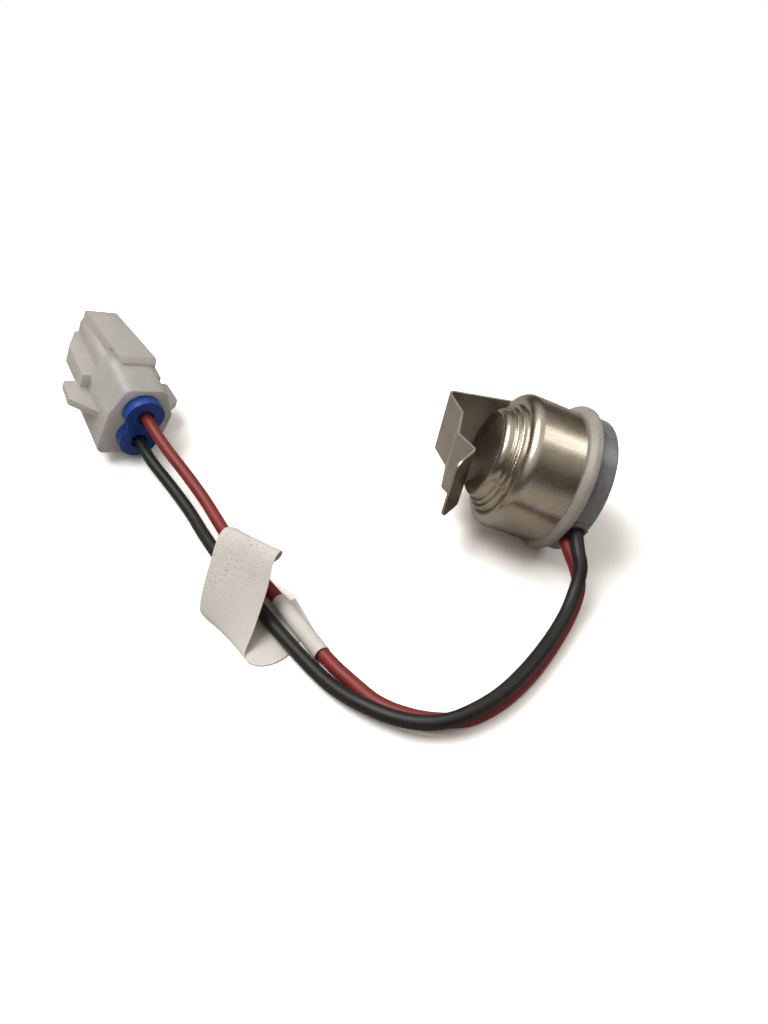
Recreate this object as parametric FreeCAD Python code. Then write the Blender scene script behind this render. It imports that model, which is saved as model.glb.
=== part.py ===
import FreeCAD, Part
import os
from math import cos, radians, sin, tan

# A defrost switch for a refrigerator: a sealed snap-disc can with a spring clip for a tube,
# two leads with their labels, and a sealed two-way plug. All sizes are in millimetres.
# The head is drawn in its own frame first: the origin at the centre of the can's open rim,
# +Z through the sensing face, +X up the can's side. It is then tipped onto its rear edge.

# Sensing can: a drawn metal cup, open at the back
can_d = 25.4
can_wall = 0.5
can_side = 8.75
can_shoulder_r = 1.9
step_1_r = 10.2
step_1_rise = 0.8
step_2_r = 9.3
step_2_rise = 0.7
boss_r = 8.6
boss_rise = 1.7
boss_edge_r = 1.2
step_edge_r = 0.3
step_foot_r = 0.15
step_draft = 0.15

# Plastic joint ring between the can and the rear cap, with a tongue into each
ring_r = 13.85
ring_front_r = 12.9
ring_width = 2.0
ring_taper = 0.9
ring_taper_r = 1.2
ring_tongue_wall = 1.17
ring_tongue = 2.2
ring_rear_tongue = 1.2
ring_bead_r = 0.3

# Rear cap, set with the ring a little off the can's axis, and the oval collar round the bushing
cap_r = 12.8
cap_offset = 0.48
cap_length = 3.85
cap_wall = 1.1
cap_back = 0.6
cap_edge_r = 0.5
cap_recess_r = 9.0
cap_recess_depth = 0.15
collar_proud = 0.15
collar_wall = 0.55

# Lead bushing through the side of the cap, its angle taken from the head's lower side
bushing_angle = 79.5
bushing_at = -3.9
bushing_long = 5.7
bushing_short = 3.0
bushing_proud = 0.3
bushing_inside = 1.0
lead_pitch = 2.55
lead_stagger = 0.15

# Leads
lead_d = 2.4
core_d = 1.3

# Clearances
slip = 0.05
bedding = 0.03
free_gap = 0.3

# Switch base, in the can
base_back_at = 0.5
base_floor_at = 5.0
base_well_r = 9.6

# Disc, its guide plate and the pin
guide_flange_r = 11.6
guide_flange = 0.9
guide_post_r = 7.4
guide_rim_at = 12.2
guide_rim_width = 0.9
guide_rim_rise = 0.8
disc_r = 7.3
disc_thick = 0.25
disc_dish = 0.55
pin_d = 1.8

# Contacts: blades on the floor of the base, two of their edges told as shares of the well's
# radius, and tails down to the crimps
blade_thick = 0.6
blade_inner = 2.35
blade_outer_share = 0.73
blade_end = 1.8
tail_from_share = 0.615
tail_to = -2.7
tail_end_at = -4.6
arm_thick = 0.25
arm_width = 3.0
arm_lift = 1.35
arm_reach = 6.9
arm_flat = 3.6
arm_level = 1.6
arm_bend_r = 0.6
contact_x = 5.2
contact_d = 2.4
contact_low = 0.4
contact_high = 0.45
rivet_d = 1.2
rivet_head_d = 2.4
rivet_head = 0.4
rivet_depth = 1.8
crimp_d = 2.1
crimp_from = 2.8
crimp_length = 3.2
potting_front = 0.4

# Gasket in a groove of the base, against the can's wall
gasket_d = 0.9
gasket_at = 3.6

# Spring clip: one strip of sheet, given in the plane of its length (along the can) and its reach
clip_thick = 0.4
clip_width = 14.4
clip_bend_r = 0.7
clip_back_at = 2.4
clip_fold_at = 20.5
clip_elbow = (17.8, -7.4)
clip_hip = (18.5, -1.4)
clip_tip = (15.3, 2.1)
clip_lip = (18.6, 6.8)
clip_lip_corner_r = 2.0
clip_turn = 8.8
clip_cant = 15.1
clip_shift = -1.65
weld_d = 2.0
weld_at = (3.9, 6.9)

# Lie of the head: tipped up at the face, resting on the cap's rear edge
head_pitch = 24.24
head_at = (4.984, -0.588)

# Routes of the leads, from the head to the plug, told from the point under the can's rim
red_route = [
    (2.7, -15.9, 7.1),
    (3.5, -17.9, 5.5),
    (3.7, -19.5, 3.7),
    (2.7, -22.0, 2.2),
    (0.5, -26.1, 1.3),
    (-3.6, -32.6, 1.2),
    (-7.6, -37.9, 1.2),
    (-12.1, -42.3, 1.2),
    (-17.0, -45.3, 1.2),
    (-21.7, -45.5, 1.2),
    (-26.0, -44.8, 1.2),
    (-31.1, -42.6, 1.2),
    (-35.2, -38.6, 1.3),
    (-39.8, -34.0, 1.7),
    (-48.5, -21.4, 1.75),
    (-57.2, -10.0, 1.5),
    (-62.5, -1.4, 1.9),
    (-67.6, 6.2, 4.3),
]
black_route = [
    (3.0, -16.8, 9.9),
    (3.4, -18.9, 8.6),
    (2.9, -20.7, 6.9),
    (2.0, -22.6, 5.4),
    (0.6, -25.5, 4.3),
    (-1.8, -29.5, 3.8),
    (-4.6, -33.6, 3.75),
    (-7.9, -37.9, 3.75),
    (-11.8, -42.1, 3.75),
    (-16.0, -45.2, 3.75),
    (-20.4, -47.2, 3.4),
    (-25.0, -47.3, 3.1),
    (-29.9, -45.7, 2.7),
    (-36.4, -41.6, 2.0),
    (-41.2, -36.8, 1.5),
    (-50.5, -25.2, 1.55),
    (-59.7, -12.2, 1.4),
    (-65.4, -3.6, 1.3),
    (-69.1, 2.8, 1.5),
    (-74.3, 9.8, 2.6),
]
exit_straight = 1.2

# Plug: the seal's outer face centre, the way it points and its roll; then the housing
plug_at = (-82.3, 22.2, 8.03)
plug_heading = (-0.491, 0.846, 0.208)
plug_roll = 21.0
plug_pitch = 6.3
plug_straight = 4.0
plug_crimp_at = 7.05
seal_lobe_d = 8.2
seal_body_d = 7.8
seal_waist = 5.6
seal_length = 7.0
seal_proud = 2.5
seal_rib = 1.1
seal_mouth_d = 3.6
seal_mouth = 0.8
shell_low = 8.5
shell_high = 8.3
shell_half = 7.0
shell_foot_half = 7.5
shell_cut = (4.5, 2.6, 6.1)
shell_crown = 4.3
shell_shoulder = 2.0
shell_end = 16.0
shell_corner_r = 2.0
shell_foot_r = 1.6
front_high = 6.6
front_half = 5.0
front_end = 31.7
side_low = -1.5
side_high = 2.6
side_half = 8.8
side_from = 15.0
side_taper_at = 25.5
side_tip_half = 6.0
latch_from = 11.4
latch_rear_high = 9.6
latch_front_high = 8.1
latch_rear = (-2.6, 5.2)
latch_front = (-4.9, 2.4)
latch_gap = 1.0
wing_level = -1.4
wing_root_at = 5.6
wing_tip_at = 10.8
wing_end = 17.0
wing_half = 12.2
wing_thick = 1.6
bore_d = 3.4
mouth_d = 4.8
mouth_depth = 3.0
plug_crimp_d = 2.8
plug_crimp = 5.0
socket_d = 3.3
socket_bore_d = 2.1
socket_end = 28.0
socket_bore = 12.0

# Sleeve label round the red lead
sleeve_from = (-40.42, -33.12, 1.71)
sleeve_to = (-48.74, -21.22, 1.75)
sleeve_inner_r = 1.3
sleeve_wall = 0.15
sleeve_tail = 1.6
sleeve_tail_thick = 0.3

# Flag label: a looped paper strip. Each row holds, for its right edge and its left edge,
# the place along the leads, the place across them and the height.
label_at = (-54.0, -18.5)
label_along = (0.6, -0.8)
label_thick = 0.15
label_rows = [
    ((1.9, 3.6, 7.7), (-7.2, 1.6, 8.0)),
    ((3.1, 5.0, 9.5), (-6.7, 2.2, 9.8)),
    ((3.9, 4.9, 11.3), (-6.5, 0.8, 11.5)),
    ((4.6, 4.0, 12.1), (-6.2, -0.6, 12.2)),
    ((5.1, 2.9, 11.8), (-5.6, -2.2, 11.6)),
    ((6.7, 0.5, 9.2), (-4.4, -4.4, 9.3)),
    ((8.8, -3.0, 5.2), (-2.9, -7.2, 5.6)),
    ((10.6, -6.4, 1.9), (-1.7, -9.1, 2.6)),
    ((12.0, -8.1, 0.4), (-0.7, -9.6, 0.7)),
    ((13.8, -7.7, 0.1), (0.6, -8.3, 0.1)),
    ((15.6, -5.1, 0.1), (2.7, -5.3, 0.1)),
    ((15.2, -1.0, 0.1), (2.5, -0.8, 0.1)),
    ((12.4, 2.8, 0.1), (-0.2, 3.2, 0.1)),
]


def V(x, y, z=0.0):
    return FreeCAD.Vector(x, y, z)


def rounded(points, closed=True):
    """A wire in the XY plane through (x, y) or (x, y, radius) points, each corner rounded to its radius."""
    places = [V(p[0], p[1]) for p in points]
    radii = [p[2] if len(p) > 2 else 0.0 for p in points]
    count = len(points)
    starts = []
    ends = []
    arcs = []
    for i in range(count):
        here = places[i]
        end_point = not closed and i in (0, count - 1)
        if radii[i] <= 0 or end_point:
            starts.append(here)
            ends.append(here)
            arcs.append(None)
            continue
        back = (places[i - 1] - here).normalize()
        ahead = (places[(i + 1) % count] - here).normalize()
        half = back.getAngle(ahead) / 2
        reach = radii[i] / tan(half)
        middle = (back + ahead).normalize()
        centre = here + middle * (radii[i] / sin(half))
        starts.append(here + back * reach)
        ends.append(here + ahead * reach)
        arcs.append(Part.Arc(starts[-1], centre - middle * radii[i], ends[-1]))
    edges = []
    for i in range(count):
        if arcs[i]:
            edges.append(arcs[i].toShape())
        if i == count - 1 and not closed:
            break
        after = starts[(i + 1) % count]
        if (after - ends[i]).Length > 1e-6:
            edges.append(Part.LineSegment(ends[i], after).toShape())
    return Part.Wire(edges)


def turned(points):
    """A solid turned about Z from an outline of (radius, height, corner radius) points."""
    face = Part.Face(rounded(points))
    upright = FreeCAD.Rotation(V(1, 0, 0), 90)
    face.Placement = FreeCAD.Placement(V(0, 0, 0), upright)
    return face.revolve(V(0, 0, 0), V(0, 0, 1), 360)


def rod(diameter, length, at=None, along=None):
    at = at or V(0, 0, 0)
    along = along or V(0, 0, 1)
    return Part.makeCylinder(diameter / 2, length, at, along)


def block(low, high):
    """A box between two corners."""
    size = [high[i] - low[i] for i in range(3)]
    return Part.makeBox(size[0], size[1], size[2], V(*low))


def prism(points, low, high):
    """A rounded outline in XY, raised from one height to another."""
    shape = Part.Face(rounded(points)).extrude(V(0, 0, high - low))
    shape.translate(V(0, 0, low))
    return shape


def lay(shape, placement):
    moved = shape.copy()
    moved.Placement = placement.multiply(moved.Placement)
    return moved


def axes(origin, x_dir, z_dir):
    """The placement that takes X and Z to these directions."""
    y_dir = z_dir.cross(x_dir)
    return FreeCAD.Placement(origin, FreeCAD.Rotation(x_dir, y_dir, z_dir, "ZXY"))


def strip_outline(points, thickness, bend_r):
    """The closed outline of a bent strip, its middle line through the points."""
    places = [V(p[0], p[1]) for p in points]
    half = thickness / 2
    left = []
    right = []
    for i, here in enumerate(places):
        before = (here - places[i - 1]).normalize() if i else None
        after = (places[i + 1] - here).normalize() if i < len(places) - 1 else None
        first = before or after
        last = after or before
        n_1 = V(-first.y, first.x)
        n_2 = V(-last.y, last.x)
        offset = (n_1 + n_2) * (half / (1 + n_1.dot(n_2)))
        turn = first.x * last.y - first.y * last.x
        r_left = 0.0
        r_right = 0.0
        if before and after:
            r_left = bend_r - half if turn > 0 else bend_r + half
            r_right = bend_r + half if turn > 0 else bend_r - half
        a = here + offset
        b = here - offset
        left.append((a.x, a.y, r_left))
        right.append((b.x, b.y, r_right))
    return rounded(left + right[::-1])


# Sizes that follow from those above
can_r = can_d / 2
can_inner_r = can_r - can_wall
shoulder_at = can_side + can_shoulder_r
step_1_at = shoulder_at + step_1_rise
step_2_at = step_1_at + step_2_rise
boss_at = step_2_at + boss_rise
cap_back_at = -ring_width - cap_length
cap_inner_at = cap_back_at + cap_back
cap_inner_r = cap_r - cap_wall
clip_plane = can_r + clip_thick / 2
ring_bore_r = cap_inner_r - slip - cap_offset - ring_tongue_wall
base_r = can_inner_r - slip
base_front_at = can_side
guide_rim_foot_at = guide_rim_at - guide_rim_rise
blade_top_at = base_floor_at + blade_thick
blade_outer = blade_outer_share * base_well_r
tail_from = -tail_from_share * base_well_r
arm_top_at = blade_top_at + arm_lift + arm_thick
disc_under_at = guide_rim_at + disc_dish
bushing_turn = radians(bushing_angle)
bushing_out = V(-cos(bushing_turn), -sin(bushing_turn))
bushing_side = V(sin(bushing_turn), -cos(bushing_turn))
bushing_inner_r = cap_inner_r - bushing_inside
bushing_outer_r = cap_r + bushing_proud


def sensing_can():
    """The drawn cup: a straight side, a round shoulder, two steps and a flat boss."""
    corners = [
        (can_r, shoulder_at, can_shoulder_r, can_shoulder_r - can_wall),
        (step_1_r, shoulder_at, step_foot_r, step_edge_r),
        (step_1_r - step_draft, step_1_at, step_edge_r, step_foot_r),
        (step_2_r, step_1_at, step_foot_r, step_edge_r),
        (step_2_r - step_draft, step_2_at, step_edge_r, step_foot_r),
        (boss_r, step_2_at, step_foot_r, step_edge_r),
        (boss_r - 2 * step_draft, boss_at, boss_edge_r, boss_edge_r - can_wall),
    ]
    outer = [(r, at, edge_r) for r, at, edge_r, inner_edge_r in corners]
    inner = [(r - can_wall, at - can_wall, inner_edge_r) for r, at, edge_r, inner_edge_r in corners]
    rim = [(can_inner_r, 0), (can_r, 0)]
    return turned(rim + outer + [(0, boss_at), (0, boss_at - can_wall)] + inner[::-1])


def spring_clip():
    """One strip: welded along the can, folded over the face and back out in a V that grips a tube."""
    middle = [
        (clip_back_at, -clip_plane),
        (clip_fold_at, -clip_plane),
        clip_elbow,
        clip_hip,
        clip_tip,
        clip_lip,
    ]
    side = Part.Face(strip_outline(middle, clip_thick, clip_bend_r))
    strip = side.extrude(V(0, 0, clip_width))
    strip.translate(V(0, 0, -clip_width / 2 + clip_shift))
    lip_end = [e for e in strip.Edges if is_lip_corner(e)]
    strip = strip.makeFillet(clip_lip_corner_r, lip_end)
    cant = radians(clip_cant)
    for along in weld_at:
        seat = V(along * cos(cant), -clip_plane, along * sin(cant))
        strip = strip.fuse(rod(weld_d, clip_thick, seat, V(0, 1, 0)))
    strip = lay(strip, clip_placement())
    return strip.cut(rod(can_d, shoulder_at)).removeSplitter()


def is_lip_corner(edge):
    """True for the two short edges across the strip's thickness at the free end of the lip."""
    if abs(edge.Length - clip_thick) > 0.01:
        return False
    return (edge.CenterOfMass - V(clip_lip[0], clip_lip[1], edge.CenterOfMass.z)).Length < clip_thick


def clip_placement():
    """Takes the strip's plane (length, reach, width) to the can's frame, turned and canted as welded."""
    turn = radians(clip_turn)
    cant = radians(clip_cant)
    forward = V(0, 0, 1)
    upward = V(cos(turn), -sin(turn))
    reach = V(-sin(turn), -cos(turn))
    length = forward * cos(cant) - upward * sin(cant)
    width = forward * sin(cant) + upward * cos(cant)
    return FreeCAD.Placement(V(0, 0, 0), FreeCAD.Rotation(length, reach, width, "ZXY"))


def bushing_plug(grow, start_r, end_r):
    """The bushing's oval, grown all round, between two distances from the head's axis."""
    across = bushing_short / 2 + grow
    along = bushing_long / 2 + grow
    oval = [
        (-across, -along, across),
        (across, -along, across),
        (across, along, across),
        (-across, along, across),
    ]
    trimmed = [(x, y, r - 0.001) for x, y, r in oval]
    frame = FreeCAD.Rotation(V(0, 0, 1), bushing_side, bushing_out, "ZXY")
    return lay(prism(trimmed, start_r, end_r), FreeCAD.Placement(V(0, 0, bushing_at), frame))


def lead_axis_at(side, distance):
    """The point on a lead's axis at a distance from the head's axis; side is 1 for black, -1 for red."""
    middle = V(0, 0, bushing_at - side * lead_stagger)
    return middle + bushing_side * (side * lead_pitch / 2) + bushing_out * distance


def along_lead(side, diameter, start, end):
    """A rod on a lead's axis between two distances from the head's axis."""
    return rod(diameter, end - start, lead_axis_at(side, start), bushing_out)


def flange_ring():
    """The pale ring between the can and the cap, eased towards the can, with a tongue into each."""
    tongue_r = can_inner_r - slip
    rear_at = -ring_width - ring_rear_tongue
    ring = turned([
        (0, -ring_width),
        (ring_r, -ring_width, ring_bead_r),
        (ring_r, -ring_taper, ring_taper_r),
        (ring_front_r, 0),
        (0, 0),
    ])
    ring = ring.fuse(rod(2 * (cap_inner_r - slip), ring_rear_tongue, V(0, 0, rear_at)))
    ring.translate(V(cap_offset, 0))
    ring = ring.fuse(rod(2 * tongue_r, ring_width + ring_tongue, V(0, 0, -ring_width)))
    bore = rod(2 * ring_bore_r, ring_tongue - rear_at, V(0, 0, rear_at))
    return ring.cut(bore).cut(bushing_plug(slip, 0, cap_r)).removeSplitter()


def rear_cap():
    """The smoky cap: a closed cup with a shallow recess at its back and an oval collar on its side."""
    cup = turned([
        (0, cap_back_at + cap_recess_depth),
        (cap_recess_r, cap_back_at + cap_recess_depth),
        (cap_recess_r + cap_recess_depth, cap_back_at),
        (cap_r, cap_back_at, cap_edge_r),
        (cap_r, -ring_width),
        (cap_inner_r, -ring_width),
        (cap_inner_r, cap_inner_at, cap_edge_r),
        (0, cap_inner_at),
    ])
    cup.translate(V(cap_offset, 0))
    collar = bushing_plug(collar_wall, cap_inner_r + cap_wall / 2, cap_r + collar_proud)
    span = 2 * cap_r
    collar = collar.common(block((-span, -span, cap_back_at + cap_edge_r / 2), (span, span, -ring_width)))
    return cup.fuse(collar).cut(bushing_plug(bedding, bushing_inner_r - bedding, span)).removeSplitter()


def lead_bushing():
    """The navy oval that seals the leads into the cap."""
    body = bushing_plug(0, bushing_inner_r, bushing_outer_r)
    for side in (1, -1):
        body = body.cut(along_lead(side, lead_d + 2 * bedding, 0, 2 * cap_r))
    return body


def tail(side, grow=0.0, low=tail_end_at, high=base_floor_at):
    """The upright strip of one blade, on its own side of the leads' plane."""
    corner = V(0, 0, low)
    out = bushing_out * -1
    frame = FreeCAD.Placement(corner, FreeCAD.Rotation(out, bushing_side * -1, V(0, 0, 1), "ZXY"))
    inner = blade_inner - grow
    outer = blade_inner + blade_thick + grow
    across = (inner, outer) if side < 0 else (-outer, -inner)
    slab = block((tail_from - grow, across[0], -grow), (tail_to + grow, across[1], high - low + grow))
    return lay(slab, frame)


def inner_frame():
    """The switch's own axes: X away from the bushing, Y to the red lead's side, Z to the face."""
    return FreeCAD.Placement(V(0, 0, 0), FreeCAD.Rotation(bushing_out * -1, bushing_side * -1, V(0, 0, 1), "ZXY"))


def terminal(side):
    """A brass blade on the floor of the base with its tail bent down to the lead."""
    low = blade_inner if side < 0 else -blade_outer
    high = blade_outer if side < 0 else -blade_inner
    blade = prism([
        (tail_from, low, 0.3),
        (blade_end, low, 0.8),
        (blade_end, high, 0.8),
        (tail_from, high, 0.3),
    ], base_floor_at, blade_top_at)
    whole = lay(blade, inner_frame()).fuse(tail(side)).removeSplitter()
    return whole.cut(rivet_shank(side, 2 * bedding))


def rivet_shank(side, grow=0.0, top=blade_top_at):
    """The shank that holds a blade, and what stands on it, to the base."""
    y = -side * contact_x
    bottom = base_floor_at - rivet_depth - grow
    return lay(rod(rivet_d + grow, top - bottom, V(0, y, bottom)), inner_frame())


def switch_base():
    """The moulded base: a hub in the ring's bore, a wide body in the can, a round well for the contacts."""
    hub_r = ring_bore_r - slip
    body = turned([
        (0, base_back_at),
        (hub_r, base_back_at, 0.3),
        (hub_r, ring_tongue + slip),
        (base_r, ring_tongue + slip),
        (base_r, gasket_at - gasket_d / 2 - slip),
        (base_r - gasket_d, gasket_at - gasket_d / 2 - slip),
        (base_r - gasket_d, gasket_at + gasket_d / 2 + slip),
        (base_r, gasket_at + gasket_d / 2 + slip),
        (base_r, base_front_at),
        (base_well_r, base_front_at),
        (base_well_r, base_floor_at),
        (0, base_floor_at),
    ])
    for side in (1, -1):
        body = body.cut(tail(side, slip)).cut(rivet_shank(side, 2 * bedding))
    return body


def gasket():
    """The ring squeezed between the base and the can's wall."""
    ring = Part.makeTorus(can_inner_r - gasket_d / 2 - bedding, gasket_d / 2)
    ring.translate(V(0, 0, gasket_at))
    return ring


def disc_guide():
    """The plate that carries the disc's rim and guides the pin."""
    return turned([
        (pin_d / 2 + slip, base_front_at),
        (guide_flange_r, base_front_at),
        (guide_flange_r, base_front_at + guide_flange, 0.3),
        (guide_post_r, base_front_at + guide_flange, 0.4),
        (guide_post_r, guide_rim_at, 0.2),
        (guide_post_r - guide_rim_width, guide_rim_at, 0.2),
        (guide_post_r - guide_rim_width, guide_rim_foot_at),
        (pin_d / 2 + slip, guide_rim_foot_at),
    ])


def snap_disc():
    """The dished bimetal disc, its middle towards the sensing face."""
    big_r = (disc_r * disc_r + disc_dish * disc_dish) / (2 * disc_dish)
    centre = V(0, 0, guide_rim_at + disc_dish - big_r)
    shell = Part.makeSphere(big_r + disc_thick, centre).cut(Part.makeSphere(big_r, centre))
    return shell.common(rod(2 * disc_r, 2, V(0, 0, guide_rim_at)))


def transfer_pin():
    """The ceramic pin between the arm and the disc."""
    low = arm_top_at + bedding
    high = disc_under_at - bedding
    return turned([(0, low), (pin_d / 2, low, 0.2), (pin_d / 2, high, 0.4), (0, high)])


def moving_arm():
    """The spring arm: riveted to the red blade and raised over the fixed contact."""
    flat_at = blade_top_at + arm_thick / 2
    raised_at = flat_at + arm_lift
    middle = [
        (arm_reach, flat_at),
        (arm_flat, flat_at),
        (arm_level, raised_at),
        (-arm_reach, raised_at),
    ]
    strip = Part.Face(strip_outline(middle, arm_thick, arm_bend_r)).extrude(V(0, 0, arm_width))
    strip.translate(V(0, 0, -arm_width / 2))
    stand = FreeCAD.Placement(V(0, 0, 0), FreeCAD.Rotation(V(0, 1, 0), V(0, 0, 1), V(1, 0, 0), "ZXY"))
    strip = lay(strip, stand)
    for y in (contact_x, -contact_x):
        strip = strip.cut(rod(rivet_d + 2 * bedding, 2 * base_front_at, V(0, y, 0)))
    return lay(strip, inner_frame())


def arm_rivet():
    """Holds the arm and the red blade to the base."""
    top = blade_top_at + arm_thick
    head = lay(turned([(0, top), (rivet_head_d / 2, top), (rivet_head_d / 2, top + rivet_head, 0.2), (0, top + rivet_head)]),
               FreeCAD.Placement(V(0, contact_x, 0), FreeCAD.Rotation()))
    return lay(head, inner_frame()).fuse(rivet_shank(-1, 0.0, top)).removeSplitter()


def fixed_contact():
    """The contact rivet through the black blade."""
    top = blade_top_at
    head = rod(contact_d, contact_low, V(0, -contact_x, top))
    return lay(head, inner_frame()).fuse(rivet_shank(1, 0.0, top)).removeSplitter()


def moving_contact():
    """The contact rivet under the free end of the arm."""
    under = arm_top_at - arm_thick
    pad = rod(contact_d, contact_high, V(0, -contact_x, under - contact_high))
    shank = rod(rivet_d, arm_thick, V(0, -contact_x, under))
    upset = rod(1.5 * rivet_d, rivet_head / 2, V(0, -contact_x, arm_top_at))
    return lay(pad.fuse(shank).fuse(upset).removeSplitter(), inner_frame())


def crimp(side):
    """The short tube that joins a conductor to its tail."""
    tube = along_lead(side, crimp_d, crimp_from, crimp_from + crimp_length)
    return tube.cut(along_lead(side, core_d + 2 * bedding, 0, bushing_outer_r))


def core(side):
    """The bared conductor, from the bushing through the potting into its crimp."""
    return along_lead(side, core_d, crimp_from, bushing_inner_r)


def potting():
    """The resin that fills the cap and the ring, round everything that passes through it."""
    low = cap_inner_at + bedding
    shelf = -ring_width - ring_rear_tongue - bedding
    fill = turned([
        (0, low),
        (cap_inner_r - bedding, low, cap_edge_r),
        (cap_inner_r - bedding, shelf),
        (0, shelf),
    ])
    fill.translate(V(cap_offset, 0))
    fill = fill.fuse(rod(2 * (ring_bore_r - bedding), potting_front - shelf, V(0, 0, shelf)))
    fill = fill.cut(bushing_plug(bedding, bushing_inner_r - bedding, cap_r))
    for side in (1, -1):
        fill = fill.cut(along_lead(side, core_d + 2 * bedding, crimp_from - bedding, bushing_outer_r))
        fill = fill.cut(along_lead(side, crimp_d + 2 * bedding, crimp_from - bedding, crimp_from + crimp_length + bedding))
        fill = fill.cut(tail(side, bedding))
    return fill


def head_placement():
    """Face up by the pitch, towards -X, resting on the rear edge of the cap."""
    pitch = radians(head_pitch)
    rim_height = -cap_back_at * sin(pitch) + (cap_r - cap_offset) * cos(pitch)
    rim_height -= cap_edge_r * (sin(pitch) + cos(pitch) - 1)
    forward = V(-cos(pitch), 0, sin(pitch))
    upward = V(sin(pitch), 0, cos(pitch))
    return axes(V(head_at[0], head_at[1], rim_height), upward, forward)


def placed(point):
    """A point told from under the can's rim, in the part's own frame."""
    return V(point[0] + head_at[0], point[1] + head_at[1], point[2])


def plug_placement():
    """X from the black lead to the red, Z towards the mating end."""
    ahead = V(*plug_heading).normalize()
    level = ahead.cross(V(0, 0, 1)).normalize()
    above = level.cross(ahead)
    roll = radians(plug_roll)
    upward = level * sin(roll) + above * cos(roll)
    return axes(placed(plug_at), upward, ahead)


def tube(name, points, diameter):
    """A round cord: straight runs joined by tangent arcs."""
    count = len(points)
    lengths = [(points[i + 1] - points[i]).Length for i in range(count - 1)]
    edges = []
    radii = []
    last = points[0]
    total = 0.0
    for i in range(1, count - 1):
        here = points[i]
        back = (points[i - 1] - here).normalize()
        ahead = (points[i + 1] - here).normalize()
        half = back.getAngle(ahead) / 2
        reach = 0.45 * min(lengths[i - 1], lengths[i])
        radius = reach * tan(half)
        radii.append(round(radius, 1))
        start = here + back * reach
        end = here + ahead * reach
        middle = (back + ahead).normalize()
        waist = here + middle * (radius / sin(half) - radius)
        edges.append(Part.LineSegment(last, start).toShape())
        edges.append(Part.Arc(start, waist, end).toShape())
        last = end
    edges.append(Part.LineSegment(last, points[-1]).toShape())
    path = Part.Wire(edges)
    along = (points[1] - points[0]).normalize()
    ring = Part.Wire(Part.makeCircle(diameter / 2, points[0], along))
    solid = path.makePipeShell([ring], True, False)
    section = 3.14159265 * diameter * diameter / 4
    print(name, "length", round(path.Length, 1), "radii", radii)
    print(name, "runs", [round(v, 1) for v in lengths])
    print(name, "volume over section times length", round(solid.Volume / (section * path.Length), 4))
    return solid


def lead(name, side, route, head):
    """An insulated lead from the bushing's inner face to its crimp in the plug."""
    start = head.multVec(lead_axis_at(side, bushing_inner_r))
    straight_end = head.multVec(lead_axis_at(side, cap_r + exit_straight))
    seat = plug_placement()
    x = -side * plug_pitch / 2
    bend = seat.multVec(V(x, 0, -plug_straight))
    end = seat.multVec(V(x, 0, plug_crimp_at))
    points = [start, straight_end] + [placed(p) for p in route] + [bend, end]
    return tube(name, points, lead_d)


def seal_outline(lobe_d, waist, low, high):
    """The figure of eight: two lobes and the web between them."""
    half = plug_pitch / 2
    shape = rod(lobe_d, high - low, V(half, 0, low)).fuse(rod(lobe_d, high - low, V(-half, 0, low)))
    return shape.fuse(block((-half, -waist / 2, low), (half, waist / 2, high))).removeSplitter()


def plug_seal():
    """The blue silicone seal, ribbed where it sits in the shell, with a hole for each lead."""
    body = seal_outline(seal_lobe_d, seal_waist + 0.4, 0, seal_proud + seal_rib)
    body = body.fuse(seal_outline(seal_body_d, seal_waist, seal_proud, seal_length))
    body = body.fuse(seal_outline(seal_lobe_d, seal_waist + 0.4, seal_length - 2 * seal_rib, seal_length - seal_rib))
    for x in (plug_pitch / 2, -plug_pitch / 2):
        body = body.cut(rod(lead_d + 2 * bedding, seal_length, V(x, 0, 0)))
        body = body.cut(rod(seal_mouth_d, seal_mouth, V(x, 0, 0)))
    return body.removeSplitter()


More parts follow.
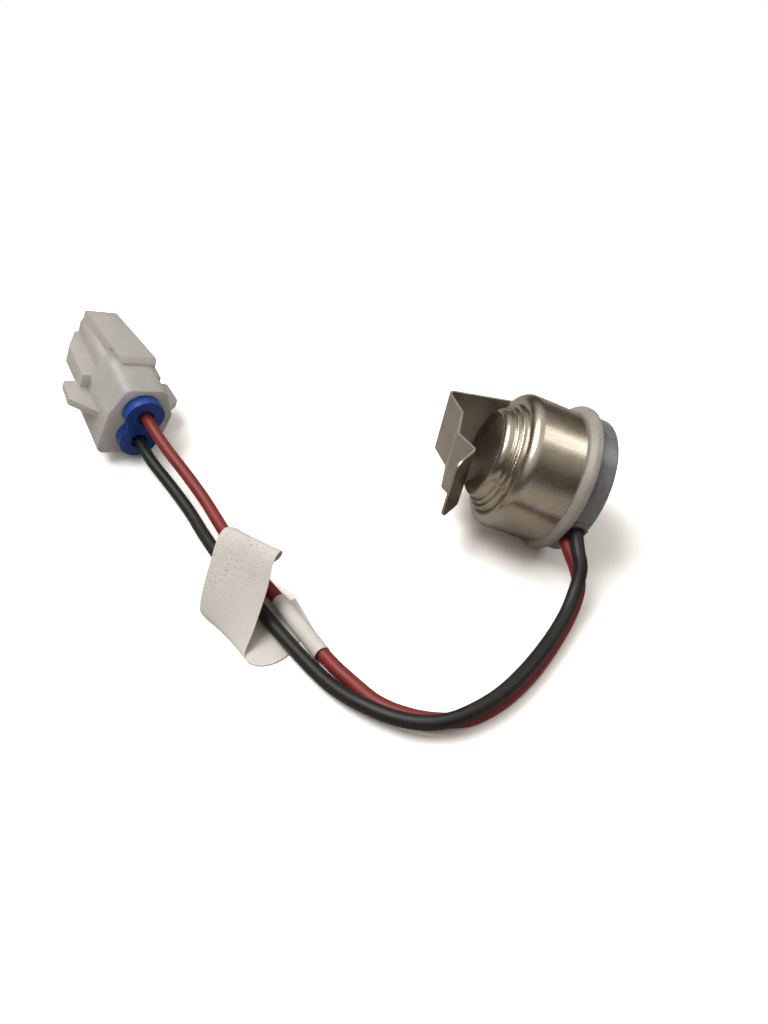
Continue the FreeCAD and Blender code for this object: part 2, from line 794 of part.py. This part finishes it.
def plug_housing():
    """The natural nylon housing: shell, front, side rails, latch ramp and two wings in one moulding."""
    shell = prism([
        (-shell_low, -shell_foot_half, shell_foot_r),
        (-shell_low, shell_cut[1], shell_corner_r),
        (-shell_cut[0], shell_cut[2], shell_corner_r),
        (shell_shoulder, shell_half, shell_corner_r),
        (shell_high, shell_crown, shell_corner_r),
        (shell_high, -shell_crown, shell_corner_r),
        (shell_shoulder, -shell_half, shell_corner_r),
    ], seal_proud, shell_end)
    front = prism([
        (-front_high, -front_half, 2.0),
        (front_high, -front_half, 2.0),
        (front_high, front_half, 2.0),
        (-front_high, front_half, 2.0),
    ], shell_end - 1, front_end)
    rails = prism([
        (side_from, -side_half),
        (side_taper_at, -side_half, 2.0),
        (front_end - 0.5, -side_tip_half, 0.8),
        (front_end - 0.5, side_tip_half, 0.8),
        (side_taper_at, side_half, 2.0),
        (side_from, side_half),
    ], side_low, side_high)
    wings = prism([
        (wing_root_at, -shell_half + 1.0),
        (wing_tip_at, -wing_half, 1.2),
        (wing_end, -wing_half + 0.4, 0.6),
        (wing_end, wing_half - 0.4, 0.6),
        (wing_tip_at, wing_half, 1.2),
        (wing_root_at, shell_half - 1.0),
    ], wing_level - wing_thick / 2, wing_level + wing_thick / 2)
    flat = FreeCAD.Placement(V(0, 0, 0), FreeCAD.Rotation(V(0, 0, 1), V(0, -1, 0), V(1, 0, 0), "ZXY"))
    ramp = prism([
        (latch_from, front_high - 1.0),
        (front_end, front_high - 1.0),
        (front_end, latch_front_high, 0.5),
        (latch_from + 1.5, latch_rear_high, 0.8),
        (latch_from, latch_rear_high - 0.8, 0.3),
    ], -shell_half, shell_half)
    plan = prism([
        (latch_from, -latch_rear[0]),
        (latch_from, -latch_rear[1], 0.8),
        (front_end, -latch_front[1], 0.8),
        (front_end, -latch_front[0], 0.8),
    ], 0, 2 * front_high)
    upright = FreeCAD.Placement(V(0, 0, 0), FreeCAD.Rotation(V(0, 0, 1), V(1, 0, 0), V(0, 1, 0), "ZXY"))
    latch = lay(ramp, upright).common(lay(plan, flat))
    body = shell.fuse(front).fuse(lay(rails, flat)).fuse(lay(wings, flat)).fuse(latch)
    body = body.cut(block(
        (shell_high - 0.9, -shell_half, latch_from + 2.0),
        (shell_high - 0.9 + latch_gap, shell_half, shell_end + 1.5)))
    pocket = seal_outline(seal_lobe_d + 2 * slip, seal_waist + 0.4 + 2 * slip, seal_proud - 1, seal_length + slip)
    body = body.cut(pocket)
    for x in (plug_pitch / 2, -plug_pitch / 2):
        body = body.cut(rod(bore_d, front_end, V(x, 0, 1)))
        body = body.cut(rod(mouth_d, mouth_depth, V(x, 0, front_end - mouth_depth)))
    return body.removeSplitter()


def plug_terminal(side):
    """The turned contact on the end of a lead: a crimped barrel and a socket."""
    x = -side * plug_pitch / 2
    barrel = rod(plug_crimp_d, plug_crimp, V(x, 0, plug_crimp_at))
    stem = rod(core_d, 2.0, V(x, 0, plug_crimp_at + plug_crimp))
    socket = rod(socket_d, socket_end - plug_crimp_at - plug_crimp - 1.0, V(x, 0, plug_crimp_at + plug_crimp + 1.0))
    bore = rod(socket_bore_d, socket_bore, V(x, 0, socket_end - socket_bore))
    return barrel.fuse(stem).fuse(socket).cut(bore).removeSplitter()


def sleeve_label():
    """The paper sleeve round the red lead, its free edge standing out on the far side."""
    low = placed(sleeve_from)
    high = placed(sleeve_to)
    length = (high - low).Length
    outer_r = sleeve_inner_r + sleeve_wall
    wrap = rod(2 * outer_r, length)
    edge = prism([
        (0, 0),
        (outer_r, 0),
        (outer_r + sleeve_tail, length),
        (0, length),
    ], -outer_r, -outer_r + sleeve_tail_thick)
    stand = FreeCAD.Placement(V(0, 0, 0), FreeCAD.Rotation(V(1, 0, 0), V(0, 0, 1), V(0, -1, 0), "ZXY"))
    wrap = wrap.fuse(lay(edge, stand)).cut(rod(2 * sleeve_inner_r, length)).removeSplitter()
    ahead = (high - low).normalize()
    far_side = ahead.cross(V(0, 0, 1)).normalize()
    return lay(wrap, axes(low, far_side, ahead))


def flag_label():
    """The looped paper strip: a ruled sheet between its two edges, thickened."""
    along = V(label_along[0], label_along[1])
    across = V(-label_along[1], label_along[0])
    edges = []
    for which in (0, 1):
        points = []
        for row in label_rows:
            a, b, height = row[which]
            points.append(placed((label_at[0], label_at[1], height)) + along * a + across * b)
        curve = Part.BSplineCurve()
        curve.interpolate(points)
        edges.append(curve.toShape())
    sheet = Part.makeRuledSurface(edges[0], edges[1])
    return sheet.makeOffsetShape(label_thick, 0.001, fill=True)


def save(name, shape):
    shape.exportStep("parts/" + name + ".step")


os.makedirs("parts", exist_ok=True)
head = head_placement()
seat = plug_placement()
in_head = {
    "sensing_can": sensing_can(),
    "spring_clip": spring_clip(),
    "flange_ring": flange_ring(),
    "rear_cap": rear_cap(),
    "lead_bushing": lead_bushing(),
    "potting": potting(),
    "switch_base": switch_base(),
    "gasket": gasket(),
    "disc_guide": disc_guide(),
    "snap_disc": snap_disc(),
    "transfer_pin": transfer_pin(),
    "moving_arm": moving_arm(),
    "moving_contact": moving_contact(),
    "arm_rivet": arm_rivet(),
    "fixed_contact": fixed_contact(),
    "terminal_red": terminal(-1),
    "terminal_black": terminal(1),
    "crimp_red": crimp(-1),
    "crimp_black": crimp(1),
    "core_red": core(-1),
    "core_black": core(1),
}
in_plug = {
    "plug_housing": plug_housing(),
    "plug_seal": plug_seal(),
    "plug_terminal_red": plug_terminal(-1),
    "plug_terminal_black": plug_terminal(1),
}
loose = {
    "red_wire": lead("red_wire", -1, red_route, head),
    "black_wire": lead("black_wire", 1, black_route, head),
    "sleeve_label": sleeve_label(),
    "flag_label": flag_label(),
}
solids = {name: lay(shape, head) for name, shape in in_head.items()}
solids.update({name: lay(shape, seat) for name, shape in in_plug.items()})
solids.update(loose)
for name, shape in solids.items():
    print(name, shape.isValid(), len(shape.Solids), round(shape.Volume, 2))
    save(name, shape)
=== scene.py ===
"""The looks of a clip-on defrost switch with its two leads and plug, on a pale table."""

from math import atan2, radians

import bpy
from mathutils import Matrix, Vector


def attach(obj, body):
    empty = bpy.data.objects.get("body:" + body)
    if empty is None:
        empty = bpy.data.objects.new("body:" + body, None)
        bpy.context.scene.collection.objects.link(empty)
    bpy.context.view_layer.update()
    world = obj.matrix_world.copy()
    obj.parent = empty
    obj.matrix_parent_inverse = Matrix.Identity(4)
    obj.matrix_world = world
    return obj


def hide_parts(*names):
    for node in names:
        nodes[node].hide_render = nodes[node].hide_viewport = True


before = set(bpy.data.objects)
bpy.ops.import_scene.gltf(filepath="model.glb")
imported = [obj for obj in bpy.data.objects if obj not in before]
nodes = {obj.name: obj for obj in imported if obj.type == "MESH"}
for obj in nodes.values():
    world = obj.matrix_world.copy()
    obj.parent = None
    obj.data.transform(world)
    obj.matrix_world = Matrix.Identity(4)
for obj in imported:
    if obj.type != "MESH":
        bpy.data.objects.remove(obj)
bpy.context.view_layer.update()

# Sizes and places of the solids are told in millimetres
MM = 0.001

# Head: the point under the can's rim that the leads are told from, and the turn of its axis
HEAD_AT = (4.984, -0.588)
HEAD_TURN = (0.0, atan2(0.911834, 0.41056), 0.0)
LEAD_D = 2.4

# The place on the flag label that its specks of print gather round
LABEL_ROLL = Vector((-53.0, -17.5, 11.0))

# Routes of the leads: the exit of each, its way to the plug, and its end in the seal
RED_EXIT = (6.92, -13.07, 8.643)
RED_STRAIGHT = (6.841, -14.121, 8.465)
RED_ROUTE = [
    (2.7, -15.9, 7.1),
    (3.5, -17.9, 5.5),
    (3.7, -19.5, 3.7),
    (2.7, -22.0, 2.2),
    (0.5, -26.1, 1.3),
    (-3.6, -32.6, 1.2),
    (-7.6, -37.9, 1.2),
    (-12.1, -42.3, 1.2),
    (-17.0, -45.3, 1.2),
    (-21.7, -45.5, 1.2),
    (-26.0, -44.8, 1.2),
    (-31.1, -42.6, 1.2),
    (-35.2, -38.6, 1.3),
    (-39.8, -34.0, 1.7),
    (-48.5, -21.4, 1.75),
    (-57.2, -10.0, 1.5),
    (-62.5, -1.4, 1.9),
    (-67.6, 6.2, 4.3),
]
RED_END = [(-74.069, 18.266, 10.074), (-79.494, 27.614, 12.373)]
BLACK_EXIT = (8.223, -13.535, 10.806)
BLACK_STRAIGHT = (8.144, -14.586, 10.628)
BLACK_ROUTE = [
    (3.0, -16.8, 9.9),
    (3.4, -18.9, 8.6),
    (2.9, -20.7, 6.9),
    (2.0, -22.6, 5.4),
    (0.6, -25.5, 4.3),
    (-1.8, -29.5, 3.8),
    (-4.6, -33.6, 3.75),
    (-7.9, -37.9, 3.75),
    (-11.8, -42.1, 3.75),
    (-16.0, -45.2, 3.75),
    (-20.4, -47.2, 3.4),
    (-25.0, -47.3, 3.1),
    (-29.9, -45.7, 2.7),
    (-36.4, -41.6, 2.0),
    (-41.2, -36.8, 1.5),
    (-50.5, -25.2, 1.55),
    (-59.7, -12.2, 1.4),
    (-65.4, -3.6, 1.3),
    (-69.1, 2.8, 1.5),
    (-74.3, 9.8, 2.6),
]
BLACK_END = [(-76.635, 18.19, 4.322), (-82.061, 27.538, 6.62)]

# Camera: place and axes of the view
CAMERA_AT = Vector((-0.024187, -0.119054, 0.103865))
CAMERA_RIGHT = Vector((0.999919, 0.012758, 0.0))
CAMERA_BACK = Vector((0.009773, -0.765982, 0.642788))
LENS = 28.125

# Table: how white it looks from the camera, its half side, and the film of air above it
TABLE_WHITE = 1.45
TABLE_HALF = 3.0
TABLE_GAP = 0.00002
SENSOR = 36.0


class Nodes:
    """A node material being put together."""

    def __init__(self, name):
        self.material = bpy.data.materials.new(name)
        self.material.use_nodes = True
        self.tree = self.material.node_tree
        self.tree.nodes.clear()
        self.out = self.add("ShaderNodeOutputMaterial")
        self.shader = self.add("ShaderNodeBsdfPrincipled")
        self.link(self.shader.outputs[0], self.out.inputs["Surface"])
        self.place = self.add("ShaderNodeTexCoord").outputs["Object"]

    def add(self, kind, **values):
        node = self.tree.nodes.new(kind)
        for key, value in values.items():
            setattr(node, key, value)
        return node

    def link(self, source, target):
        self.tree.links.new(source, target)

    def set(self, **values):
        for key, value in values.items():
            self.shader.inputs[key.replace("_", " ")].default_value = value

    def stretched(self, scale, turn):
        """The place in space, turned first and then scaled along each axis."""
        turned = self.add("ShaderNodeMapping")
        turned.inputs["Rotation"].default_value = turn
        self.link(self.place, turned.inputs["Vector"])
        scaled = self.add("ShaderNodeMapping")
        scaled.inputs["Scale"].default_value = scale
        self.link(turned.outputs[0], scaled.inputs["Vector"])
        return scaled.outputs[0]

    def noise(self, scale, detail=4.0, rough=0.6, vector=None, distortion=0.0):
        node = self.add("ShaderNodeTexNoise")
        node.inputs["Scale"].default_value = scale
        node.inputs["Detail"].default_value = detail
        node.inputs["Roughness"].default_value = rough
        node.inputs["Distortion"].default_value = distortion
        self.link(vector or self.place, node.inputs["Vector"])
        return node.outputs["Fac"]

    def ramp(self, source, stops):
        node = self.add("ShaderNodeValToRGB")
        band = node.color_ramp
        while len(band.elements) < len(stops):
            band.elements.new(0.5)
        for element, (at, colour) in zip(band.elements, stops):
            element.position = at
            element.color = (*colour, 1.0)
        self.link(source, node.inputs[0])
        return node.outputs[0]

    def spread(self, source, low, high, start=0.3, end=0.7):
        node = self.add("ShaderNodeMapRange")
        limits = (("From Min", start), ("From Max", end), ("To Min", low), ("To Max", high))
        for key, value in limits:
            node.inputs[key].default_value = value
        self.link(source, node.inputs["Value"])
        return node.outputs[0]

    def maths(self, operation, first, second):
        node = self.add("ShaderNodeMath", operation=operation)
        for slot, value in zip(node.inputs, (first, second)):
            if isinstance(value, (int, float)):
                slot.default_value = value
            else:
                self.link(value, slot)
        return node.outputs[0]

    def mix(self, factor, first, second):
        node = self.add("ShaderNodeMix", data_type="RGBA")
        a, b = node.inputs[6], node.inputs[7]
        for slot, value in ((node.inputs[0], factor), (a, first), (b, second)):
            if isinstance(value, tuple):
                slot.default_value = (*value, 1.0)
            elif isinstance(value, (int, float)):
                slot.default_value = value
            else:
                self.link(value, slot)
        return node.outputs[2]

    def bump(self, height, strength, distance, before=None):
        node = self.add("ShaderNodeBump")
        node.inputs["Strength"].default_value = strength
        node.inputs["Distance"].default_value = distance
        self.link(height, node.inputs["Height"])
        if before:
            self.link(before, node.inputs["Normal"])
        return node.outputs[0]

    def colour(self, source):
        self.link(source, self.shader.inputs["Base Color"])

    def roughness(self, source):
        self.link(source, self.shader.inputs["Roughness"])

    def normal(self, source):
        self.link(source, self.shader.inputs["Normal"])


def drawn_can():
    """Bright drawn steel: marks along the axis on the side, a faint haze and small stains."""
    m = Nodes("can_steel")
    m.set(Metallic=1.0, Anisotropic=0.25)
    marks = m.noise(1.0, 5.0, 0.65, m.stretched((5200.0, 5200.0, 260.0), HEAD_TURN))
    haze = m.noise(190.0, 3.0, 0.55)
    stain = m.noise(75.0, 4.0, 0.6, distortion=0.6)
    tint = m.ramp(haze, [
        (0.25, (0.44, 0.39, 0.32)),
        (0.5, (0.54, 0.49, 0.415)),
        (0.78, (0.63, 0.59, 0.52)),
    ])
    m.colour(m.mix(m.spread(stain, 0.0, 0.35, 0.52, 0.75), tint, (0.38, 0.32, 0.25)))
    m.roughness(m.maths("ADD", m.spread(marks, 0.17, 0.29), m.spread(haze, 0.0, 0.07)))
    m.normal(m.bump(marks, 0.22, 0.000012, m.bump(haze, 0.12, 0.00006)))
    return m.material


def clip_steel():
    """Matte rolled strip: fine rolling marks, handling haze."""
    m = Nodes("clip_strip")
    m.set(Metallic=1.0)
    grain = m.noise(1.0, 5.0, 0.7, m.stretched((900.0, 7500.0, 900.0), (0.0, 0.0, radians(-12.0))))
    haze = m.noise(260.0, 4.0, 0.6)
    m.colour(m.ramp(haze, [
        (0.25, (0.42, 0.385, 0.335)),
        (0.55, (0.51, 0.475, 0.425)),
        (0.8, (0.59, 0.56, 0.51)),
    ]))
    m.roughness(m.maths("ADD", m.spread(grain, 0.30, 0.43), m.spread(haze, 0.0, 0.08)))
    m.normal(m.bump(grain, 0.3, 0.000015, m.bump(haze, 0.15, 0.00005)))
    return m.material


def plastic(name, dark, light, rough, inside=0.0, reach=(0, 0, 0), through=0.0, scale=420.0, coat=0.0):
    """Moulded plastic with flow marks and a faint texture. Inside is its share of scattered light,
    reach how far that light goes, and through its share of light that passes.
    """
    m = Nodes(name)
    m.set(IOR=1.5)
    if inside:
        m.set(Subsurface_Weight=inside, Subsurface_Radius=reach, Subsurface_Scale=1.0)
    if through:
        m.set(Transmission_Weight=through)
    if coat:
        m.set(Coat_Weight=coat, Coat_Roughness=0.25)
    flow = m.noise(scale, 3.0, 0.5, distortion=1.2)
    fine = m.noise(6500.0, 2.0, 0.5)
    m.colour(m.ramp(flow, [(0.25, dark), (0.75, light)]))
    m.roughness(m.maths("ADD", m.spread(flow, rough - 0.05, rough + 0.05), m.spread(fine, -0.03, 0.05)))
    m.normal(m.bump(fine, 0.18, 0.00002, m.bump(flow, 0.1, 0.00008)))
    return m.material


def inner_metal(name, dark, light, rough):
    """Stamped or plated metal inside the head and the plug."""
    m = Nodes(name)
    m.set(Metallic=1.0)
    grain = m.noise(1.0, 4.0, 0.6, m.stretched((5000.0, 700.0, 5000.0), HEAD_TURN))
    patch = m.noise(500.0, 3.0, 0.5)
    m.colour(m.ramp(patch, [(0.3, dark), (0.7, light)]))
    m.roughness(m.spread(grain, rough - 0.06, rough + 0.08))
    m.normal(m.bump(grain, 0.2, 0.00001))
    return m.material


def insulation(name, dark, light):
    """Extruded lead cover: satin, with fine draw marks, dull patches and dust."""
    m = Nodes(name)
    m.set(IOR=1.48)
    patch = m.noise(160.0, 4.0, 0.6)
    fine = m.noise(3800.0, 3.0, 0.6)
    dust = m.noise(9000.0, 2.0, 0.5)
    tint = m.ramp(patch, [(0.3, dark), (0.7, light)])
    m.colour(m.mix(m.spread(dust, 0.0, 0.10, 0.60, 0.75), tint, (0.45, 0.43, 0.41)))
    m.roughness(m.maths("ADD", m.spread(patch, 0.40, 0.52), m.spread(fine, -0.03, 0.05)))
    m.normal(m.bump(fine, 0.25, 0.00002, m.bump(patch, 0.15, 0.0002)))
    return m.material


def label_paper(name, specks):
    """Matte label stock: fibres, soft shading and small unreadable specks of print."""
    m = Nodes(name)
    m.set(Subsurface_Weight=0.15, Subsurface_Radius=(0.0006, 0.0005, 0.0004), Subsurface_Scale=1.0)
    fibre = m.noise(5200.0, 5.0, 0.7)
    cloud = m.noise(170.0, 3.0, 0.5)
    paper = m.ramp(cloud, [(0.25, (0.64, 0.60, 0.565)), (0.75, (0.72, 0.69, 0.66))])
    if specks:
        near = m.add("ShaderNodeVectorMath", operation="DISTANCE")
        m.link(m.place, near.inputs[0])
        near.inputs[1].default_value = LABEL_ROLL * MM
        roll = m.spread(near.outputs["Value"], 1.0, 0.0, 0.006, 0.012)
        fleck = m.spread(m.noise(2300.0, 2.0, 0.8, distortion=1.5), 0.0, 1.0, 0.60, 0.66)
        ink = m.maths("MULTIPLY", roll, m.maths("MULTIPLY", fleck, 0.75))
        paper = m.mix(ink, paper, (0.10, 0.09, 0.09))
    m.colour(paper)
    m.roughness(m.spread(fibre, 0.62, 0.82))
    m.normal(m.bump(fibre, 0.2, 0.00002, m.bump(cloud, 0.1, 0.0003)))
    return m.material


finish = {
    "can_metal": drawn_can(),
    "clip_metal": clip_steel(),
    "milky_ring": plastic("ring_plastic", (0.42, 0.39, 0.355), (0.50, 0.475, 0.44), 0.34,
                          inside=0.5, reach=(0.002, 0.002, 0.002), through=0.25),
    "smoky_cap": plastic("cap_plastic", (0.20, 0.215, 0.24), (0.28, 0.295, 0.32), 0.30,
                         inside=0.3, reach=(0.002, 0.0025, 0.003), through=0.2, coat=0.3),
    "navy_rubber": plastic("bushing_rubber", (0.012, 0.013, 0.05), (0.025, 0.027, 0.09), 0.45),
    "resin": plastic("potting_resin", (0.10, 0.11, 0.12), (0.16, 0.17, 0.18), 0.4),
    "phenolic": plastic("base_phenolic", (0.035, 0.025, 0.02), (0.06, 0.045, 0.035), 0.5),
    "gasket_rubber": plastic("gasket_rubber", (0.012, 0.012, 0.012), (0.025, 0.025, 0.025), 0.55),
    "ceramic_white": plastic("fired_ceramic", (0.60, 0.58, 0.53), (0.70, 0.68, 0.63), 0.6),
    "bimetal": inner_metal("disc_metal", (0.45, 0.42, 0.38), (0.56, 0.53, 0.48), 0.32),
    "spring_copper": inner_metal("arm_copper", (0.55, 0.31, 0.17), (0.68, 0.42, 0.26), 0.3),
    "contact_silver": inner_metal("contact_silver", (0.62, 0.61, 0.60), (0.74, 0.73, 0.72), 0.22),
    "brass": inner_metal("stamped_brass", (0.58, 0.43, 0.19), (0.70, 0.55, 0.28), 0.3),
    "tinned": inner_metal("tin_plate", (0.50, 0.50, 0.50), (0.63, 0.63, 0.64), 0.33),
    "copper": inner_metal("core_copper", (0.52, 0.27, 0.15), (0.66, 0.37, 0.23), 0.35),
    "red_insulation": insulation("red_cover", (0.19, 0.014, 0.013), (0.27, 0.026, 0.022)),
    "black_insulation": insulation("black_cover", (0.0045, 0.0052, 0.0048), (0.011, 0.0125, 0.0115)),
    "label_paper": label_paper("flag_paper", True),
    "natural_nylon": plastic("natural_nylon", (0.68, 0.665, 0.635), (0.78, 0.765, 0.74), 0.42,
                             inside=0.6, reach=(0.004, 0.004, 0.0045), through=0.5, scale=300.0),
    "blue_silicone": plastic("blue_silicone", (0.003, 0.040, 0.27), (0.008, 0.075, 0.42), 0.33,
                             inside=0.15, reach=(0.001, 0.001, 0.003)),
}
sleeve_paper = label_paper("sleeve_paper", False)

for name, node in nodes.items():
    for holder in node.material_slots:
        slot_name = holder.material.name if holder.material else ""
        if name == "sleeve_label":
            holder.material = sleeve_paper
        elif slot_name in finish:
            holder.material = finish[slot_name]


def lead(name, node, exit_at, straight, route, end, material):
    """A lead as one NURBS spline along its route, round in section."""
    points = [exit_at, straight]
    points += [(x + HEAD_AT[0], y + HEAD_AT[1], z) for x, y, z in route]
    points += end
    curve = bpy.data.curves.new(name, "CURVE")
    curve.dimensions = "3D"
    curve.bevel_depth = LEAD_D / 2 * MM
    curve.bevel_resolution = 8
    curve.resolution_u = 12
    curve.use_fill_caps = True
    spline = curve.splines.new("NURBS")
    spline.points.add(len(points) - 1)
    for point, (x, y, z) in zip(spline.points, points):
        point.co = (x * MM, y * MM, z * MM, 1.0)
    spline.order_u = 3
    spline.use_endpoint_u = True
    curve.materials.append(material)
    piece = bpy.data.objects.new(name, curve)
    bpy.context.collection.objects.link(piece)
    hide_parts(node)
    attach(piece, "root")
    return piece


red = lead("lead_red", "red_wire", RED_EXIT, RED_STRAIGHT, RED_ROUTE, RED_END,
           finish["red_insulation"])
black = lead("lead_black", "black_wire", BLACK_EXIT, BLACK_STRAIGHT, BLACK_ROUTE, BLACK_END,
             finish["black_insulation"])


def camera():
    data = bpy.data.cameras.new("camera")
    data.lens = LENS
    data.sensor_width = SENSOR
    data.clip_start = 0.005
    data.clip_end = 20.0
    view = bpy.data.objects.new("camera", data)
    up = CAMERA_BACK.cross(CAMERA_RIGHT)
    turn = Matrix((CAMERA_RIGHT, up, CAMERA_BACK)).transposed().to_4x4()
    view.matrix_world = Matrix.Translation(CAMERA_AT) @ turn
    bpy.context.collection.objects.link(view)
    bpy.context.scene.camera = view


def floor():
    mesh = bpy.data.meshes.new("table_top")
    signs = [(-1, -1), (1, -1), (1, 1), (-1, 1)]
    mesh.from_pydata([(x * TABLE_HALF, y * TABLE_HALF, 0) for x, y in signs], [], [(0, 1, 2, 3)])
    top = bpy.data.objects.new("table_top", mesh)
    top.location.z = -TABLE_GAP
    bpy.context.collection.objects.link(top)
    m = Nodes("table_white")
    m.set(Roughness=0.9)
    m.colour(m.ramp(m.noise(30.0), [(0.3, (0.36, 0.335, 0.305)), (0.7, (0.40, 0.375, 0.345))]))
    pale = m.add("ShaderNodeBsdfDiffuse")
    pale.inputs["Color"].default_value = (TABLE_WHITE, TABLE_WHITE, TABLE_WHITE, 1.0)
    clear = m.add("ShaderNodeBsdfTransparent")
    near = m.add("ShaderNodeVectorMath", operation="LENGTH")
    m.link(m.place, near.inputs[0])
    fade = m.spread(near.outputs["Value"], 0.0, 1.0, 0.25, 0.6)
    seen = m.add("ShaderNodeMixShader")
    m.link(fade, seen.inputs[0])
    m.link(pale.outputs[0], seen.inputs[1])
    m.link(clear.outputs[0], seen.inputs[2])
    either = m.add("ShaderNodeMixShader")
    m.link(m.add("ShaderNodeLightPath").outputs["Is Camera Ray"], either.inputs[0])
    m.link(m.shader.outputs[0], either.inputs[1])
    m.link(seen.outputs[0], either.inputs[2])
    m.link(either.outputs[0], m.out.inputs["Surface"])
    mesh.materials.append(m.material)


def lamp(name, at, target, size, power, colour=(1.0, 1.0, 1.0)):
    data = bpy.data.lights.new(name, "AREA")
    data.shape = "RECTANGLE"
    data.size, data.size_y = size
    data.energy = power
    data.color = colour
    source = bpy.data.objects.new(name, data)
    source.location = at
    source.rotation_euler = (Vector(target) - Vector(at)).to_track_quat("-Z", "Y").to_euler()
    bpy.context.collection.objects.link(source)


def studio():
    """White to the camera; to the object a pale ceiling over a dim warm room."""
    world = bpy.data.worlds.new("studio")
    bpy.context.scene.world = world
    world.use_nodes = True
    tree = world.node_tree
    tree.nodes.clear()
    out = tree.nodes.new("ShaderNodeOutputWorld")
    mixer = tree.nodes.new("ShaderNodeMixShader")
    white = tree.nodes.new("ShaderNodeBackground")
    room = tree.nodes.new("ShaderNodeBackground")
    path = tree.nodes.new("ShaderNodeLightPath")
    place = tree.nodes.new("ShaderNodeTexCoord")
    split = tree.nodes.new("ShaderNodeSeparateXYZ")
    ramp = tree.nodes.new("ShaderNodeValToRGB")
    stops = ((0.0, (0.20, 0.175, 0.15)), (0.10, (0.06, 0.048, 0.037)), (0.36, (0.085, 0.070, 0.055)),
             (0.60, (0.42, 0.385, 0.335)), (0.85, (0.72, 0.69, 0.64)))
    band = ramp.color_ramp
    while len(band.elements) < len(stops):
        band.elements.new(0.5)
    for element, (at, colour) in zip(band.elements, stops):
        element.position = at
        element.color = (*colour, 1.0)
    tree.links.new(place.outputs["Generated"], split.inputs[0])
    tree.links.new(split.outputs["Z"], ramp.inputs[0])
    tree.links.new(ramp.outputs[0], room.inputs["Color"])
    white.inputs["Color"].default_value = (1.0, 1.0, 1.0, 1.0)
    seen = tree.nodes.new("ShaderNodeMath")
    seen.operation = "MAXIMUM"
    tree.links.new(path.outputs["Is Camera Ray"], seen.inputs[0])
    tree.links.new(path.outputs["Is Transmission Ray"], seen.inputs[1])
    tree.links.new(seen.outputs[0], mixer.inputs[0])
    tree.links.new(room.outputs[0], mixer.inputs[1])
    tree.links.new(white.outputs[0], mixer.inputs[2])
    tree.links.new(mixer.outputs[0], out.inputs["Surface"])


camera()
floor()
studio()
lamp("key", (-0.38, 0.05, 0.85), (-0.03, 0.0, 0.0), (0.7, 0.5), 6.5, (1.0, 0.985, 0.965))
lamp("fill", (0.78, 0.10, 0.66), (-0.02, 0.0, 0.0), (0.42, 0.22), 0.75, (1.0, 0.97, 0.91))
bpy.context.scene.view_settings.view_transform = "Standard"
